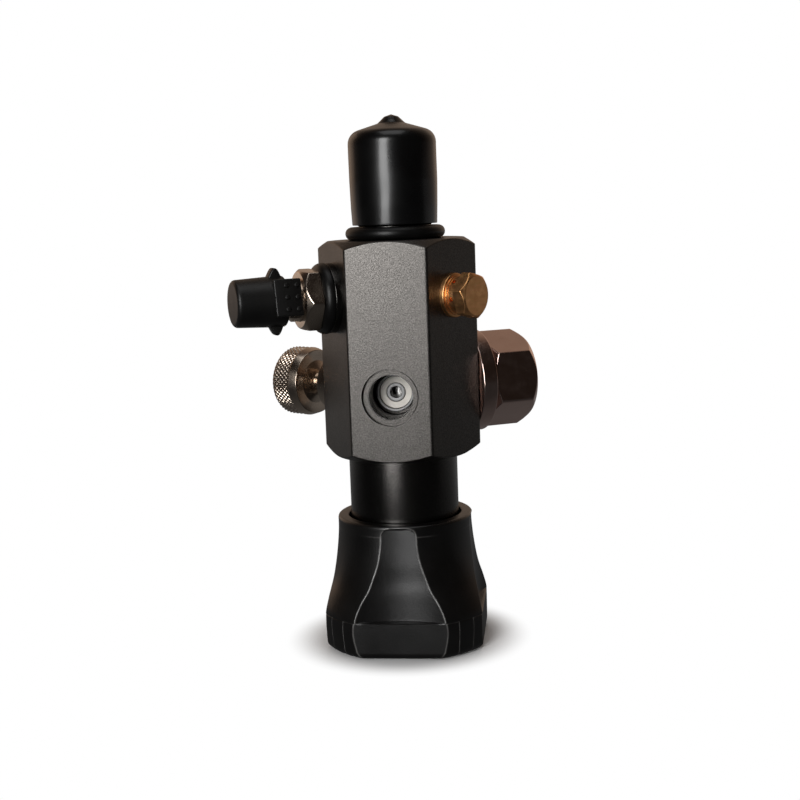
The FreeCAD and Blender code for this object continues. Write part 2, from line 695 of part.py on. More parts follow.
def all_parts():
    parts = {name: make() for name, make in AXIAL_PARTS.items()}
    for name, (make, side, level) in PORT_PARTS.items():
        parts[name] = on_port(make(), side, level)
    parts["tank_o_ring"] = o_ring(TANK_RING_RADIUS, TANK_RING_SECTION, BODY_TOP + TANK_RING_SECTION / 2)
    parts["bonnet_o_ring"] = o_ring(10.8, 1.4, BODY_BOTTOM + 0.75)
    parts["thrust_washer"] = ring(7.2, 5.2, SHOULDER, SHOULDER + THRUST_THICKNESS)
    parts["inlet_filter"] = turned(
        (0, FILTER_SEAT + 0.05), (3.95, FILTER_SEAT + 0.05), (3.95, TANK_THREAD_TOP - 0.3, 0.5),
        (0, TANK_THREAD_TOP - 0.3),
    )
    return parts


os.makedirs("parts", exist_ok=True)
for node, shape in all_parts().items():
    shape.exportStep(f"parts/{node}.step")
    solids = len(shape.Solids)
    print(f"{node}: {solids} solid, valid {shape.isValid()}, volume {shape.Volume:.1f} mm3")
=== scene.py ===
"""Looks of the high-pressure cylinder valve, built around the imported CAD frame.

Shapes are written in millimetres. A turned piece is a profile of (radius, height) corners about its own
axis; a piece on a port is drawn along the port's axis, outwards, and placed by the port's matrix.
"""
import bpy
import bmesh
import json
import math
import numpy as np
from mathutils import Matrix, Vector


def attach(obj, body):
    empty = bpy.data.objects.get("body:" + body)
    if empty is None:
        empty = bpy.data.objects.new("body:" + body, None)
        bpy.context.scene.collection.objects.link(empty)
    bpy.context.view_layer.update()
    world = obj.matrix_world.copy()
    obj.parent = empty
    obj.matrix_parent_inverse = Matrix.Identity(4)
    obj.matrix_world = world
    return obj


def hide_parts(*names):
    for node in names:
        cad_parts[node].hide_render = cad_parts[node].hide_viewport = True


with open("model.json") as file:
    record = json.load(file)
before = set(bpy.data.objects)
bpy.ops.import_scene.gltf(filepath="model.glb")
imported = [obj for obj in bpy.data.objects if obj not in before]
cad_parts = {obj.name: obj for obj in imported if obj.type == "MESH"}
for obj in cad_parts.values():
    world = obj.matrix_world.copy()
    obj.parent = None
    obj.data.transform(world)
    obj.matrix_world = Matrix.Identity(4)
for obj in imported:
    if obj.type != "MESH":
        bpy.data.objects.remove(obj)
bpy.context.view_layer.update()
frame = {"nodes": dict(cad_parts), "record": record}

MM = 0.001
BODY_FLATS = 32.0
FACE = BODY_FLATS / 2
BODY_BOTTOM = 45.3
BODY_TOP = 94.9
UPPER_LEVEL = 82.2
LOWER_LEVEL = 60.2
PLUG_LEVEL = 60.6
WHEEL_TOP = 30.6
ARC_STEPS = 7
WELD = 2e-7


# ---- camera and lights ------------------------------------------------------

def outward(azimuth, elevation):
    """Direction out of the valve, from angles in radians; azimuth 0 is the front, positive to the right."""
    return Vector((
        math.sin(azimuth) * math.cos(elevation),
        -math.cos(azimuth) * math.cos(elevation),
        math.sin(elevation),
    ))


def add_camera():
    azimuth = math.radians(8.897)
    elevation = math.radians(8.571)
    roll = math.radians(-2.067)
    place = Vector((0.0477, -0.30653, 0.10403))
    back = outward(azimuth, elevation)
    level = Vector((math.cos(azimuth), math.sin(azimuth), 0))
    upright = back.cross(level)
    right = level * math.cos(roll) + upright * math.sin(roll)
    up = upright * math.cos(roll) - level * math.sin(roll)
    data = bpy.data.cameras.new("camera")
    data.sensor_width = 36
    data.lens = 60.062
    data.clip_start = 0.01
    camera = bpy.data.objects.new("camera", data)
    turn = Matrix((right, up, back)).transposed().to_4x4()
    camera.matrix_world = Matrix.Translation(place) @ turn
    bpy.context.scene.collection.objects.link(camera)
    bpy.context.scene.camera = camera


def add_light(name, azimuth, elevation, distance, size, power, colour=(1, 1, 1)):
    """Area light that faces the middle of the valve; angles in degrees, lengths in metres."""
    centre = Vector((0, 0, 0.07))
    way = outward(math.radians(azimuth), math.radians(elevation))
    data = bpy.data.lights.new(name, "AREA")
    data.shape = "RECTANGLE"
    data.size, data.size_y = size
    data.energy = power
    data.color = colour
    light = bpy.data.objects.new(name, data)
    light.location = centre + way * distance
    light.rotation_euler = way.to_track_quat("Z", "Y").to_euler()
    bpy.context.scene.collection.objects.link(light)
    return light


def add_lights():
    warm = (1.0, 0.7, 0.5)
    pale_warm = (1.0, 0.76, 0.58)
    add_light("key", azimuth=-15, elevation=12, distance=0.8, size=(0.3, 0.6), power=5.0)
    add_light("left_rim", azimuth=-128, elevation=8, distance=0.8, size=(0.5, 0.8), power=0.5, colour=warm)
    add_light("right_rim", azimuth=158, elevation=8, distance=0.8, size=(0.4, 0.8), power=0.15,
              colour=pale_warm)
    add_light("overhead", azimuth=10, elevation=80, distance=0.9, size=(0.6, 0.6), power=1.2)
    back_fill = add_light("back_fill", azimuth=180, elevation=25, distance=0.9, size=(0.4, 0.4), power=1.6)
    back_fill.visible_glossy = False


def add_world():
    """White to the camera; what lights the valve and mirrors in it is a dark room, pale brown behind."""
    world = bpy.data.worlds.new("studio")
    bpy.context.scene.world = world
    world.use_nodes = True
    tree = world.node_tree
    place = tree.nodes.new("ShaderNodeTexCoord")
    parts = tree.nodes.new("ShaderNodeSeparateXYZ")
    tree.links.new(place.outputs["Generated"], parts.inputs[0])
    room = tree.nodes.new("ShaderNodeValToRGB")
    room.color_ramp.elements[0].color = (0.014, 0.011, 0.009, 1)
    room.color_ramp.elements[1].position = 0.85
    room.color_ramp.elements[1].color = (0.34, 0.255, 0.195, 1)
    middle = room.color_ramp.elements.new(0.3)
    middle.color = (0.05, 0.034, 0.026, 1)
    tree.links.new(parts.outputs["Y"], room.inputs["Fac"])
    path = tree.nodes.new("ShaderNodeLightPath")
    choose = tree.nodes.new("ShaderNodeMix")
    choose.data_type = "RGBA"
    choose.inputs[7].default_value = (1, 1, 1, 1)
    tree.links.new(path.outputs["Is Camera Ray"], choose.inputs["Factor"])
    tree.links.new(room.outputs["Color"], choose.inputs[6])
    tree.links.new(choose.outputs[2], tree.nodes["Background"].inputs["Color"])


# ---- materials and floor ----------------------------------------------------

class Nodes:
    """Short calls for building one material's node tree."""

    def __init__(self, name):
        self.material = bpy.data.materials.new(name)
        self.material.use_nodes = True
        self.tree = self.material.node_tree
        self.shader = self.tree.nodes["Principled BSDF"]
        self.place = self.add("ShaderNodeTexCoord").outputs["Object"]

    def add(self, kind, **settings):
        node = self.tree.nodes.new(kind)
        for key, value in settings.items():
            setattr(node, key, value)
        return node

    def link(self, source, target):
        self.tree.links.new(source, target)

    def math(self, operation, *values):
        node = self.add("ShaderNodeMath", operation=operation)
        for socket, value in zip(node.inputs, values):
            if isinstance(value, (int, float)):
                socket.default_value = value
            else:
                self.link(value, socket)
        return node.outputs[0]

    def stretched(self, scale):
        node = self.add("ShaderNodeMapping")
        node.inputs["Scale"].default_value = scale
        self.link(self.place, node.inputs["Vector"])
        return node.outputs[0]

    def noise(self, scale, detail=3.0, stretch=(1, 1, 1), rough=0.55):
        node = self.add("ShaderNodeTexNoise")
        node.inputs["Scale"].default_value = scale
        node.inputs["Detail"].default_value = detail
        node.inputs["Roughness"].default_value = rough
        self.link(self.stretched(stretch), node.inputs["Vector"])
        return node.outputs["Fac"]

    def ramp(self, value, low, high, to_low=0.0, to_high=1.0):
        node = self.add("ShaderNodeMapRange")
        node.inputs["From Min"].default_value = low
        node.inputs["From Max"].default_value = high
        node.inputs["To Min"].default_value = to_low
        node.inputs["To Max"].default_value = to_high
        self.link(value, node.inputs["Value"])
        return node.outputs["Result"]

    def mix(self, factor, first, second):
        node = self.add("ShaderNodeMix", data_type="RGBA")
        self.link(factor, node.inputs["Factor"])
        for socket, colour in ((node.inputs[6], first), (node.inputs[7], second)):
            if isinstance(colour, tuple):
                socket.default_value = (*colour, 1)
            else:
                self.link(colour, socket)
        return node.outputs[2]

    def specks(self, scale, radius, share):
        """1 on small scattered specks, 0 elsewhere."""
        cells = self.add("ShaderNodeTexVoronoi")
        cells.inputs["Scale"].default_value = scale
        self.link(self.place, cells.inputs["Vector"])
        near = self.ramp(cells.outputs["Distance"], radius, radius * 0.5)
        chosen = self.add("ShaderNodeSeparateColor")
        self.link(cells.outputs["Color"], chosen.inputs[0])
        return self.math("MULTIPLY", near, self.math("LESS_THAN", chosen.outputs[0], share))

    def turning_marks(self, scale):
        """Noise that is the same all round the piece's own axis, like marks left by a lathe."""
        parts = self.add("ShaderNodeSeparateXYZ")
        self.link(self.place, parts.inputs[0])
        square = self.math("ADD", self.math("POWER", parts.outputs[0], 2.0),
                           self.math("POWER", parts.outputs[1], 2.0))
        joined = self.add("ShaderNodeCombineXYZ")
        self.link(self.math("SQRT", square), joined.inputs[0])
        self.link(parts.outputs[2], joined.inputs[1])
        node = self.add("ShaderNodeTexNoise")
        node.inputs["Scale"].default_value = scale
        node.inputs["Detail"].default_value = 4.0
        self.link(joined.outputs[0], node.inputs["Vector"])
        return node.outputs["Fac"]

    def bump(self, height, distance, strength=1.0):
        node = self.add("ShaderNodeBump")
        node.inputs["Strength"].default_value = strength
        node.inputs["Distance"].default_value = distance
        self.link(height, node.inputs["Height"])
        return node.outputs["Normal"]

    def finish(self, colour=None, roughness=None, normal=None, **fixed):
        for socket, source in (("Base Color", colour), ("Roughness", roughness), ("Normal", normal)):
            if source is not None:
                self.link(source, self.shader.inputs[socket])
        for name, value in fixed.items():
            self.shader.inputs[name.replace("_", " ")].default_value = value
        return self.material


def blasted_black(name, first, second, low, high):
    """Bead-blasted, black anodised aluminium: fine sparkling grain over slow patches."""
    grain = 0.00004
    dust_colour = (0.45, 0.43, 0.4)
    n = Nodes(name)
    patches = n.noise(90, 4, (1, 1, 0.35))
    grit = n.noise(3200, 3)
    colour = n.mix(n.ramp(patches, 0.3, 0.7), first, second)
    colour = n.mix(n.ramp(grit, 0.35, 0.7, 0, 0.75), colour, tuple(1.8 * c for c in second))
    dust = n.specks(420, 0.05, 0.1)
    colour = n.mix(n.math("MULTIPLY", dust, 0.5), colour, dust_colour)
    roughness = n.ramp(patches, 0.3, 0.7, low, high)
    normal = n.bump(n.noise(3600, 3), grain, 0.8)
    return n.finish(colour, roughness, normal, Metallic=1.0)


def black_rubber(name, first, second, low, high, grain, worn_highlit_edges=False, coat=0.0, gloss=0.5):
    """Moulded rubber or vinyl with faint mottling, dust and, if asked, pale edges that are rubbed wear and
    a painted edge highlight.
    """
    dust_colour = (0.3, 0.29, 0.27)
    scuff_colour = (0.12, 0.115, 0.11)
    # pale colour of the flutes' edges: rubbed wear and a painted edge highlight
    worn_highlight_colour = (0.19, 0.185, 0.18)
    n = Nodes(name)
    patches = n.noise(120, 5)
    colour = n.mix(n.ramp(patches, 0.35, 0.7), first, second)
    dust = n.specks(300, 0.045, 0.12)
    colour = n.mix(n.math("MULTIPLY", dust, 0.6), colour, dust_colour)
    scuffs = n.ramp(n.noise(260, 6, (1, 1, 3.5), 0.7), 0.66, 0.8, 0, 0.1)
    colour = n.mix(scuffs, colour, scuff_colour)
    if worn_highlit_edges:
        # paints the edges pale where the attribute is 1: rubbed wear and a painted edge highlight along the
        # flutes' edges
        edge = n.add("ShaderNodeAttribute", attribute_name="wear_and_highlight").outputs["Fac"]
        rubbed_highlight = n.math("MULTIPLY", edge, n.ramp(n.noise(420, 4), 0.3, 0.6, 0.45, 1.0))
        colour = n.mix(rubbed_highlight, colour, worn_highlight_colour)
    roughness = n.ramp(n.noise(60, 3), 0.3, 0.7, low, high)
    normal = n.bump(n.noise(2600, 3), grain, 0.7)
    return n.finish(
        colour, roughness, normal, Coat_Weight=coat, Coat_Roughness=0.12, Specular_IOR_Level=gloss,
    )


def plated(name, first, second, low, high, marks=0.000004, tint=(0.2, 0.15, 0.11)):
    """Plated or bare metal: faint lathe marks, a little haze and a few stains of the tint."""
    n = Nodes(name)
    haze = n.noise(140, 4)
    colour = n.mix(n.ramp(haze, 0.35, 0.7), first, second)
    stain = n.ramp(n.noise(330, 5, rough=0.7), 0.62, 0.78, 0, 0.35)
    colour = n.mix(stain, colour, tint)
    roughness = n.ramp(n.noise(400, 4), 0.3, 0.7, low, high)
    normal = n.bump(n.turning_marks(2500), marks, 0.6)
    return n.finish(colour, roughness, normal, Metallic=1.0)


def copper_brass():
    """Brass with coppery streaks and paler rubbed patches."""
    n = Nodes("copper_brass")
    streaks = n.noise(260, 5, (1, 5, 1), 0.65)
    colour = n.mix(n.ramp(streaks, 0.3, 0.7), (1.0, 0.5, 0.22), (0.82, 0.44, 0.17))
    colour = n.mix(n.ramp(n.noise(500, 5), 0.6, 0.8, 0, 0.5), colour, (0.95, 0.62, 0.36))
    roughness = n.ramp(n.noise(700, 4), 0.3, 0.7, 0.26, 0.45)
    normal = n.bump(n.turning_marks(2200), 0.00001, 0.7)
    return n.finish(colour, roughness, normal, Metallic=1.0)


def pale_plastic():
    n = Nodes("seal_plastic")
    colour = n.mix(n.ramp(n.noise(500, 4), 0.35, 0.7), (0.86, 0.82, 0.75), (0.74, 0.7, 0.63))
    roughness = n.ramp(n.noise(900, 3), 0.3, 0.7, 0.35, 0.55)
    return n.finish(colour, roughness, n.bump(n.noise(3000, 2), 0.000006))


def sintered_bronze():
    n = Nodes("bronze")
    grains = n.add("ShaderNodeTexVoronoi")
    grains.inputs["Scale"].default_value = 4200
    n.link(n.place, grains.inputs["Vector"])
    colour = n.mix(n.ramp(grains.outputs["Distance"], 0.1, 0.6), (0.5, 0.38, 0.2), (0.14, 0.1, 0.05))
    normal = n.bump(grains.outputs["Distance"], 0.00008, 1.0)
    return n.finish(colour, None, normal, Metallic=0.9, Roughness=0.5)


def make_materials():
    """Every material by name: two tones, the range of roughness and, on some, the grain's height."""
    nickel = ((0.68, 0.57, 0.47), (0.57, 0.475, 0.395))
    chrome = ((0.8, 0.6, 0.54), (0.72, 0.53, 0.475))
    steel = ((0.55, 0.545, 0.53), (0.46, 0.455, 0.445))
    dull_steel = ((0.34, 0.34, 0.34), (0.27, 0.27, 0.27))
    spring_steel = ((0.03, 0.028, 0.027), (0.3, 0.3, 0.3))
    body_black = ((0.068, 0.064, 0.06), (0.09, 0.085, 0.08))
    neck_black = ((0.05, 0.048, 0.046), (0.064, 0.061, 0.058))
    vinyl = ((0.0012, 0.0012, 0.0013), (0.0028, 0.0028, 0.003))
    grip = ((0.0022, 0.002, 0.0019), (0.0045, 0.0042, 0.004))
    cap = ((0.0025, 0.0023, 0.0022), (0.006, 0.0055, 0.005))
    seal = ((0.0015, 0.0015, 0.0015), (0.004, 0.0038, 0.0038))
    return {
        "black_aluminium": blasted_black("black_aluminium", *body_black, 0.33, 0.4),
        "neck_aluminium": blasted_black("neck_aluminium", *neck_black, 0.2, 0.27),
        "black_vinyl": black_rubber("black_vinyl", *vinyl, 0.24, 0.32, 0.000006, coat=0.2),
        "grip_rubber": black_rubber("grip_rubber", *grip, 0.27, 0.36, 0.00003, worn_highlit_edges=True, gloss=0.75),
        "cap_rubber": black_rubber("cap_rubber", *cap, 0.38, 0.52, 0.00002),
        "seal_rubber": black_rubber("seal_rubber", *seal, 0.3, 0.42, 0.000006, gloss=0.3),
        "seal_plastic": pale_plastic(),
        "nickel": plated("nickel", *nickel, 0.16, 0.26),
        "plug_chrome": plated("plug_chrome", *chrome, 0.12, 0.24),
        "steel": plated("steel", *steel, 0.25, 0.38, 0.000012),
        "dull_steel": plated("dull_steel", *dull_steel, 0.5, 0.62, 0.000008, tint=(0.1, 0.09, 0.08)),
        "spring_steel": plated("spring_steel", *spring_steel, 0.3, 0.4),
        "copper_brass": copper_brass(),
        "bronze": sintered_bronze(),
    }


def add_floor():
    """White to the camera, with the valve's soft shadow close to it; dark to reflections, paler behind."""
    reach = 6.0
    shadow_start, shadow_end = 0.019, 0.03
    n = Nodes("floor")
    seen = n.add("ShaderNodeLightPath").outputs["Is Camera Ray"]
    parts = n.add("ShaderNodeSeparateXYZ")
    n.link(n.place, parts.inputs[0])
    room = n.ramp(parts.outputs["Y"], -0.05, 0.3, 0.025, 0.22)
    glow = n.add("ShaderNodeEmission")
    n.link(n.math("MAXIMUM", seen, room), glow.inputs["Strength"])
    length = n.add("ShaderNodeVectorMath", operation="LENGTH")
    n.link(n.place, length.inputs[0])
    fade = n.add("ShaderNodeMapRange", interpolation_type="SMOOTHSTEP")
    fade.inputs["From Min"].default_value = shadow_start
    fade.inputs["From Max"].default_value = shadow_end
    n.link(length.outputs["Value"], fade.inputs["Value"])
    glowing = n.math("MAXIMUM", fade.outputs["Result"], n.math("SUBTRACT", 1, seen))
    blend = n.add("ShaderNodeMixShader")
    n.link(glowing, blend.inputs["Fac"])
    n.link(n.shader.outputs[0], blend.inputs[1])
    n.link(glow.outputs[0], blend.inputs[2])
    n.link(blend.outputs[0], n.tree.nodes["Material Output"].inputs["Surface"])
    corners = [(reach * x, reach * y, 0) for x, y in ((-1, -1), (1, -1), (1, 1), (-1, 1))]
    mesh = bpy.data.meshes.new("floor")
    mesh.from_pydata(corners, [], [(0, 1, 2, 3)])
    mesh.materials.append(n.finish(Base_Color=(0.9, 0.9, 0.9, 1), Roughness=0.8, Specular_IOR_Level=0.1))
    placed("floor", mesh)


# ---- mesh building ----------------------------------------------------------

def rounded(corners):
    """Points of a closed profile; a corner is (radius, height) or (radius, height, rounding)."""
    points = [Vector(corner[:2]) for corner in corners]
    count = len(points)
    result = []
    for i, corner in enumerate(corners):
        here = points[i]
        if len(corner) < 3:
            result.append(here)
            continue
        back = (points[i - 1] - here).normalized()
        ahead = (points[(i + 1) % count] - here).normalized()
        half = back.angle(ahead) / 2
        reach = corner[2] / math.tan(half)
        centre = here + (back + ahead).normalized() * (corner[2] / math.sin(half))
        start = here + back * reach - centre
        end = here + ahead * reach - centre
        turn = start.angle_signed(end)
        for k in range(ARC_STEPS + 1):
            spin = Matrix.Rotation(-turn * k / ARC_STEPS, 2)
            result.append(centre + spin @ start)
    return [(p.x, p.y) for p in result]


def divided(profile, step, closed=True):
    """The same profile with points no further apart than step."""
    result = []
    pairs = zip(profile, profile[1:] + profile[:1]) if closed else zip(profile, profile[1:])
    for (r0, z0), (r1, z1) in pairs:
        parts = max(1, math.ceil(math.hypot(r1 - r0, z1 - z0) / step))
        result += [(r0 + (r1 - r0) * k / parts, z0 + (z1 - z0) * k / parts) for k in range(parts)]
    return result if closed else result + [profile[-1]]


def soft_min(a, b, softness):
    overlap = np.maximum(softness - np.abs(a - b), 0) / softness
    return np.minimum(a, b) - overlap * overlap * softness / 4


def hexed(flats, corner_angle, softness):
    """Radial limit of a hexagon with slightly rounded corners."""
    def limit(theta):
        result = None
        for k in range(6):
            facing = np.cos(theta - math.radians(corner_angle + 30 + 60 * k))
            distance = flats / 2 / np.maximum(facing, 0.05)
            result = distance if result is None else soft_min(result, distance, softness)
        return result
    return limit


def ring_faces(rows, count, closed=True):
    """Four-sided faces between rings of vertices; closed joins the last ring to the first."""
    faces = []
    for i in range(rows if closed else rows - 1):
        below = i * count
        above = (i + 1) % rows * count
        for j in range(count):
            k = (j + 1) % count
            faces.append((below + j, below + k, above + k, above + j))
    return faces


def hexed_above(inside, hexagon, softness):
    """Shape for lathe that cuts everything beyond the inside radius back to a hexagon."""
    return lambda r, z, a: np.where(r > inside, soft_min(r, hexagon(a), softness), r)


def lathe(profile, segments, shape=None, start_angle=0.0):
    """Vertices and faces of a closed profile turned about Z; a shape function may change the radii."""
    theta = np.arange(segments) * 2 * math.pi / segments + math.radians(start_angle)
    radius = np.array([p[0] for p in profile])[:, None] * np.ones(segments)[None, :]
    height = np.array([p[1] for p in profile])[:, None] * np.ones(segments)[None, :]
    turn = np.ones(len(profile))[:, None] * theta[None, :]
    if shape is not None:
        radius = shape(radius, height, turn)
    verts = np.stack([radius * np.cos(turn), radius * np.sin(turn), height], axis=-1).reshape(-1, 3)
    return verts, ring_faces(len(profile), segments)


def port(side, level):
    """Matrix that stands a piece's own Z axis on a port, outwards, with its Y axis up.

    side is the port's angle from the front in degrees, positive to the right, and level its height.
    """
    a = math.radians(side)
    rows = (
        (math.cos(a), 0, math.sin(a), 0),
        (math.sin(a), 0, -math.cos(a), 0),
        (0, 1, 0, level * MM),
        (0, 0, 0, 1),
    )
    return Matrix(rows)


FILL = port(-60, UPPER_LEVEL)
BURST = port(60, UPPER_LEVEL)
BLEED = port(-120, LOWER_LEVEL)
BLANK = port(120, PLUG_LEVEL)
OUTLET = port(0, LOWER_LEVEL)


def placed(name, mesh, matrix=None):
    """Object for a mesh, standing at a port's matrix or at the origin."""
    thing = bpy.data.objects.new(name, mesh)
    bpy.context.scene.collection.objects.link(thing)
    if matrix is not None:
        thing.matrix_world = matrix
    return thing


def smooth(mesh, sharp=32):
    mesh.shade_smooth()
    mesh.set_sharp_from_angle(angle=math.radians(sharp))


def clean_mesh(name, shape):
    """Mesh from (vertices in mm, faces), with meeting points welded and every face turned outwards."""
    verts, faces = shape
    mesh = bpy.data.meshes.new(name)
    mesh.from_pydata([tuple(v) for v in np.asarray(verts) * MM], [], faces)
    cleaned = bmesh.new()
    cleaned.from_mesh(mesh)
    bmesh.ops.remove_doubles(cleaned, verts=cleaned.verts, dist=WELD)
    bmesh.ops.dissolve_degenerate(cleaned, edges=cleaned.edges, dist=WELD)
    bmesh.ops.recalc_face_normals(cleaned, faces=cleaned.faces)
    cleaned.to_mesh(mesh)
    cleaned.free()
    return mesh


def piece(name, shape, material, body, nodes=(), matrix=None, sharp=32):
    """Object from (vertices in mm, faces), in place, riding on a body and standing for CAD nodes."""
    mesh = clean_mesh(name, shape)
    smooth(mesh, sharp)
    mesh.materials.append(materials[material])
    thing = placed(name, mesh, matrix)
    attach(thing, body)
    if nodes:
        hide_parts(*nodes)
    return thing


def turned(name, corners, material, body, nodes=(), matrix=None, segments=160, step=None, shape=None,
           start_angle=0.0, sharp=32):
    profile = rounded(corners)
    if step:
        profile = divided(profile, step)
    made = lathe(profile, segments, shape, start_angle)
    return piece(name, made, material, body, nodes, matrix, sharp)


def cut_away(thing, cutters):
    """Take each cutter's shape out of a piece, then throw the cutters away."""
    for cutter in cutters:
        modifier = thing.modifiers.new("cut", "BOOLEAN")
        modifier.object = cutter
        modifier.operation = "DIFFERENCE"
        modifier.solver = "EXACT"
    bpy.context.view_layer.update()
    evaluated = thing.evaluated_get(bpy.context.evaluated_depsgraph_get())
    mesh = bpy.data.meshes.new_from_object(evaluated)
    thing.modifiers.clear()
    thing.data = mesh
    for cutter in cutters:
        bpy.data.objects.remove(cutter)
    smooth(mesh)


def turned_cutter(corners, matrix, segments):
    return placed("cutter", clean_mesh("cutter", lathe(rounded(corners), segments)), matrix)


def spline(at, knots):
    """Smooth curve through (place, value) knots, as an array over the places in at."""
    xs = np.array([k[0] for k in knots], float)
    ys = np.array([k[1] for k in knots], float)
    slopes = np.gradient(ys, xs)
    at = np.clip(at, xs[0], xs[-1])
    i = np.clip(np.searchsorted(xs, at) - 1, 0, len(xs) - 2)
    width = xs[i + 1] - xs[i]
    t = (at - xs[i]) / width
    return (
        (2 * t**3 - 3 * t**2 + 1) * ys[i] + (t**3 - 2 * t**2 + t) * width * slopes[i]
        + (3 * t**2 - 2 * t**3) * ys[i + 1] + (t**3 - t**2) * width * slopes[i + 1]
    )


# ---- body -------------------------------------------------------------------

def body_block():
    """Hexagonal bar with turned chamfers, the outlet port on its front and the bore along its axis."""
    corner = BODY_FLATS / math.sqrt(3)
    flat = FACE - 0.15
    drop = 1.7
    wall = 13
    inside = 10
    profile = rounded([
        (0, BODY_BOTTOM), (flat, BODY_BOTTOM, 0.2), (corner, BODY_BOTTOM + drop), (corner, BODY_TOP - drop),
        (flat, BODY_TOP, 0.2), (0, BODY_TOP),
    ])
    low, high = BODY_BOTTOM + 2, BODY_TOP - 2
    ends = [p for p in divided(profile, 0.16) if p[0] > wall + 1 and not low < p[1] < high]
    rows = [(0, BODY_BOTTOM), (inside, BODY_BOTTOM)] + ends + [(inside, BODY_TOP), (0, BODY_TOP)]
    hexagon = hexed(BODY_FLATS, 0, 0.25)
    made = lathe(rows, 480, hexed_above(wall, hexagon, 0.22))
    block = piece("body_block", made, "black_aluminium", "body", ["valve_body"])
    mouth = turned_cutter([
        (0, 1.0), (1.3, 1.0), (1.3, 5.9), (5.5, 5.9), (5.5, 7.5), (5.2, 7.5), (5.2, 15.2), (6.1, 15.2),
        (6.1, 14.7), (6.5, 14.7), (6.5, FACE + 2), (0, FACE + 2),
    ], OUTLET, 128)
    bore = turned_cutter([
        (0, 44), (10.05, 44), (10.05, 50.65), (6.1, 50.65), (6.1, 54.7), (4.2, 54.7), (4.2, 66.6),
        (1.5, 66.6), (1.5, 75.1), (2.5, 75.1), (2.5, 96), (0, 96),
    ], Matrix.Identity(4), 96)
    cut_away(block, [mouth, bore])


def wave(height, theta, pitch):
    """Triangle wave, from 0 to 1 and back, that climbs one pitch a turn."""
    phase = np.mod(height / pitch - theta / (2 * math.pi), 1.0)
    return 1 - np.abs(2 * phase - 1)


def thread_shape(crest, depth, pitch, low, high):
    """Thread with flat crests and roots on the outside of a turned piece, fading out at both ends."""
    flat = 0.12

    def shape(radius, height, theta):
        groove = np.clip((wave(height, theta, pitch) - flat) / (1 - 2 * flat), 0, 1)
        fade = np.clip((height - low) / pitch, 0, 1) * np.clip((high - height) / pitch, 0, 1)
        on_wall = (radius > crest - 0.01).astype(float)
        return radius - depth * groove * fade * on_wall
    return shape


def tank_stub():
    """Thread on the end of the body that screws into the tank."""
    crest, start, end = 8.9, 98.5, 115.3
    corners = [
        (0, 94.0), (8.3, 94.0), (8.3, 98.0), (crest, start), (crest, end), (crest - 1, 116.3),
        (4.0, 116.3, 0.2), (4.0, 110.1), (0, 110.1),
    ]
    profile = divided(rounded(corners), 0.1)
    made = lathe(profile, 180, thread_shape(crest, 0.85, 1.5, start, end))
    piece("tank_thread_stub", made, "neck_aluminium", "body", ["valve_body"])


def outlet_thread():
    """Thin threaded lining of the outlet port."""
    pitch = 1.25
    height_of_thread = 0.16
    corners = [(5.3, 7.5), (5.3, 15.05), (5.12, 15.05), (5.12, 7.5)]

    def shape(radius, height, theta):
        inner = (radius < 5.2).astype(float)
        return radius - height_of_thread * wave(height, theta, pitch) * inner

    made = lathe(divided(corners, 0.12), 144, shape)
    piece("outlet_thread", made, "neck_aluminium", "body", (), OUTLET)


def tank_seal():
    """O-ring that lies on the body's top, round the foot of the thread."""
    radius, section, steps = 10.0, 3.0, 24
    profile = []
    for k in range(steps):
        angle = 2 * math.pi * k / steps
        across = section / 2 * math.cos(angle)
        profile.append((radius + across, BODY_TOP + section / 2 + section / 2 * math.sin(angle)))
    piece("tank_seal", lathe(profile, 144), "seal_rubber", "body", ["tank_o_ring"], sharp=60)


def tank_cap():
    """Dipped vinyl cap, slightly out of round, with the small tip that dipping leaves."""
    base = 98.3
    shoulder = base + 20.7
    corners = [
        (9.5, base), (9.78, base, 0.12), (9.95, base + 4), (10.1, base + 10), (10.1, shoulder, 3.2),
        (3.2, shoulder + 2.1, 1.2), (1.6, shoulder + 3.6, 0.8), (0, shoulder + 4.1), (0, shoulder + 0.2),
        (9.5, shoulder - 1.2, 1.8),
    ]

    def shape(radius, height, theta):
        sag = 0.03 * np.sin(3 * theta + 0.15 * height) + 0.02 * np.sin(5 * theta - 0.4 * height)
        return radius + sag * (radius > 2)

    turned("tank_cap_skin", corners, "black_vinyl", "tank_cap", ["tank_cap"], segments=180, step=0.4,
           shape=shape, sharp=40)


def bonnet():
    """Round neck that stands in the handwheel and screws into the body."""
    corners = [
        (5.05, 20.6), (12.75, 20.6, 0.6), (12.75, 45.3, 0.4), (10, 45.3), (10, 50.6), (7.3, 50.6),
        (7.3, 40.1), (5.05, 40.1),
    ]
    turned("bonnet_skin", corners, "neck_aluminium", "body", ["bonnet"], segments=192)


# ---- handwheel --------------------------------------------------------------

TOP_RADIUS = 15.9
TOP_ROUNDING = 0.7
FOOT_ROUNDING = 2.1
FLAT_ROUNDING = 1.5
LOBE_KNOTS = [
    (0, 20.9), (2.0, 20.95), (4.5, 21.2), (6.8, 21.3), (9.0, 21.1), (12.4, 19.9), (15.9, 18.3),
    (19.8, 17.15), (24.6, 16.3), (29.0, 15.95), (WHEEL_TOP, TOP_RADIUS),
]
HOLLOW_KNOTS = [
    (8.6, 16.4), (11.7, 16.23), (14.9, 16.06), (17.9, 15.8), (21.4, 15.6), (25.3, 15.34), (29.3, 15.12),
    (WHEEL_TOP, 15.05),
]
HOLLOW_REACH = 45.0
FLUTE_COUNT = 4
FLUTE_TURN = 2.2
LEDGE = 8.6
FOOT_FLAT = 18.3
FAR = 40


def rounding(distance, radius):
    """How far a rounded edge falls back at this distance from its end."""
    inside = np.maximum(radius - distance, 0)
    return np.where(inside > 0, radius - np.sqrt(np.maximum(radius**2 - inside**2, 0)), 0)


